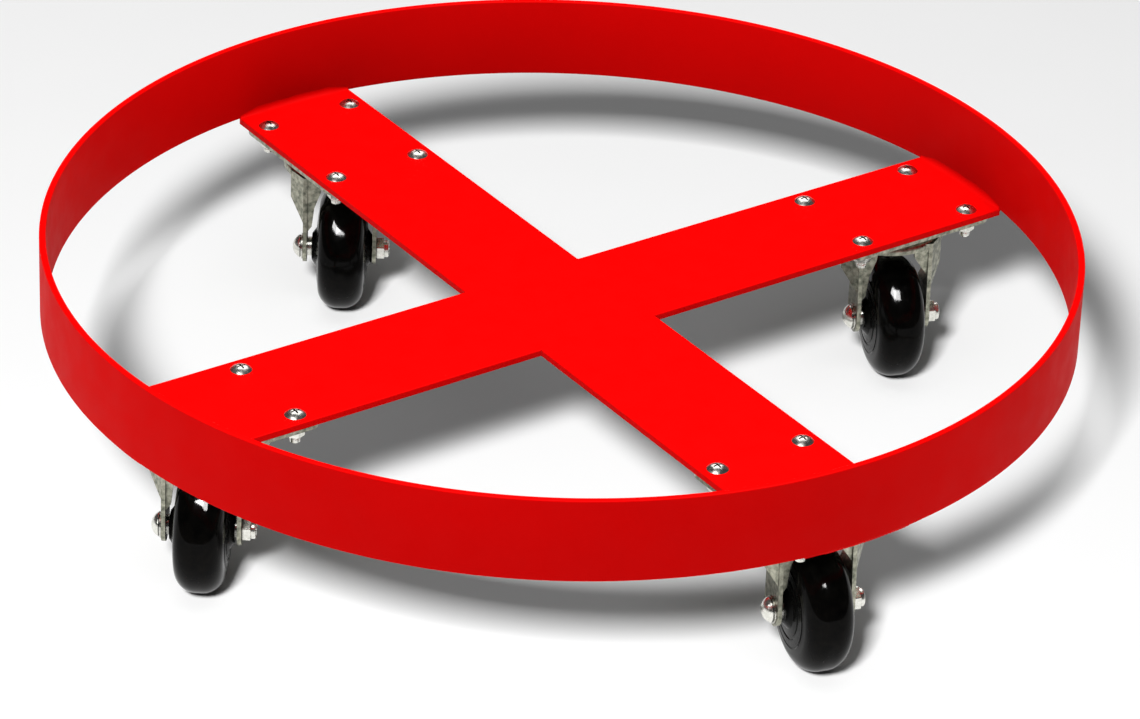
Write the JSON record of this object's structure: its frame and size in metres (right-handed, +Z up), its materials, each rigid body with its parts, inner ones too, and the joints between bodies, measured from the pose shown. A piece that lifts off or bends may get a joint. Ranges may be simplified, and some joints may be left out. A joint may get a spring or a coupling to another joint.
{
  "type": "drum dolly",
  "caption": "Low round dolly for an upright drum: red steel ring on a flat cross, with a swivel caster under each arm end.",
  "frame": {"origin": "on the floor, under the centre of the ring", "axes": "+Z up; the long cross bar runs along Y and the two half bars along X"},
  "size_m": [0.608, 0.608, 0.15],
  "materials": {
    "red_paint": "saturated red powder coat, semi-gloss with a fine texture",
    "yellow_zinc": "zinc plate on pressed steel, pale with a slight yellow-green tint",
    "bright_zinc": "bright zinc plate on turned and headed fasteners",
    "ball_steel": "polished bearing steel",
    "black_plastic": "glossy black moulded plastic",
    "black_tyre": "hard black tread, glossy, lightly scuffed"
  },
  "bodies": {
    "frame": {"ring_band": "red_paint", "cross_bar_long": "red_paint", "cross_bar_right": "red_paint", "cross_bar_left": "red_paint", "ring_welds": "red_paint", "centre_welds": "red_paint", "mounting_screws": "bright_zinc", "lock_washers": "bright_zinc", "mounting_nuts": "bright_zinc", "caster_plate_right": "yellow_zinc", "kingpin_right": "bright_zinc", "bearing_cup_right": "yellow_zinc", "upper_balls_right": "ball_steel", "lower_balls_right": "ball_steel", "caster_plate_back": "yellow_zinc", "kingpin_back": "bright_zinc", "bearing_cup_back": "yellow_zinc", "upper_balls_back": "ball_steel", "lower_balls_back": "ball_steel", "caster_plate_left": "yellow_zinc", "kingpin_left": "bright_zinc", "bearing_cup_left": "yellow_zinc", "upper_balls_left": "ball_steel", "lower_balls_left": "ball_steel", "caster_plate_front": "yellow_zinc", "kingpin_front": "bright_zinc", "bearing_cup_front": "yellow_zinc", "upper_balls_front": "ball_steel", "lower_balls_front": "ball_steel"},
    "swivel_right": {"fork_right": "yellow_zinc", "axle_bolt_right": "bright_zinc", "lock_nut_right": "bright_zinc", "axle_sleeve_right": "bright_zinc"},
    "wheel_right": {"wheel_core_right": "black_plastic", "tyre_right": "black_tyre"},
    "swivel_back": {"fork_back": "yellow_zinc", "axle_bolt_back": "bright_zinc", "lock_nut_back": "bright_zinc", "axle_sleeve_back": "bright_zinc"},
    "wheel_back": {"wheel_core_back": "black_plastic", "tyre_back": "black_tyre"},
    "swivel_left": {"fork_left": "yellow_zinc", "axle_bolt_left": "bright_zinc", "lock_nut_left": "bright_zinc", "axle_sleeve_left": "bright_zinc"},
    "wheel_left": {"wheel_core_left": "black_plastic", "tyre_left": "black_tyre"},
    "swivel_front": {"fork_front": "yellow_zinc", "axle_bolt_front": "bright_zinc", "lock_nut_front": "bright_zinc", "axle_sleeve_front": "bright_zinc"},
    "wheel_front": {"wheel_core_front": "black_plastic", "tyre_front": "black_tyre"}
  },
  "joints": [
    {"name": "swivel_joint_right", "type": "hinge", "parent": "frame", "child": "swivel_right", "pos_m": [0.24, 0, 0.09], "axis": [0, 0, 1], "continuous": true},
    {"name": "axle_joint_right", "type": "hinge", "parent": "swivel_right", "child": "wheel_right", "pos_m": [0.23023, -0.02301, 0.038], "axis": [0.9205, -0.3907, 0], "continuous": true},
    {"name": "swivel_joint_back", "type": "hinge", "parent": "frame", "child": "swivel_back", "pos_m": [0, 0.24, 0.09], "axis": [0, 0, 1], "continuous": true},
    {"name": "axle_joint_back", "type": "hinge", "parent": "swivel_back", "child": "wheel_back", "pos_m": [-0.01416, 0.2194, 0.038], "axis": [0.8241, -0.5664, 0], "continuous": true},
    {"name": "swivel_joint_left", "type": "hinge", "parent": "frame", "child": "swivel_left", "pos_m": [-0.24, 0, 0.09], "axis": [0, 0, 1], "continuous": true},
    {"name": "axle_joint_left", "type": "hinge", "parent": "swivel_left", "child": "wheel_left", "pos_m": [-0.25522, -0.01983, 0.038], "axis": [0.7934, -0.6088, 0], "continuous": true},
    {"name": "swivel_joint_front", "type": "hinge", "parent": "frame", "child": "swivel_front", "pos_m": [0, -0.24, 0.09], "axis": [0, 0, 1], "continuous": true},
    {"name": "axle_joint_front", "type": "hinge", "parent": "swivel_front", "child": "wheel_front", "pos_m": [-0.00731, -0.26391, 0.038], "axis": [0.9563, -0.2924, 0], "continuous": true}
  ]
}
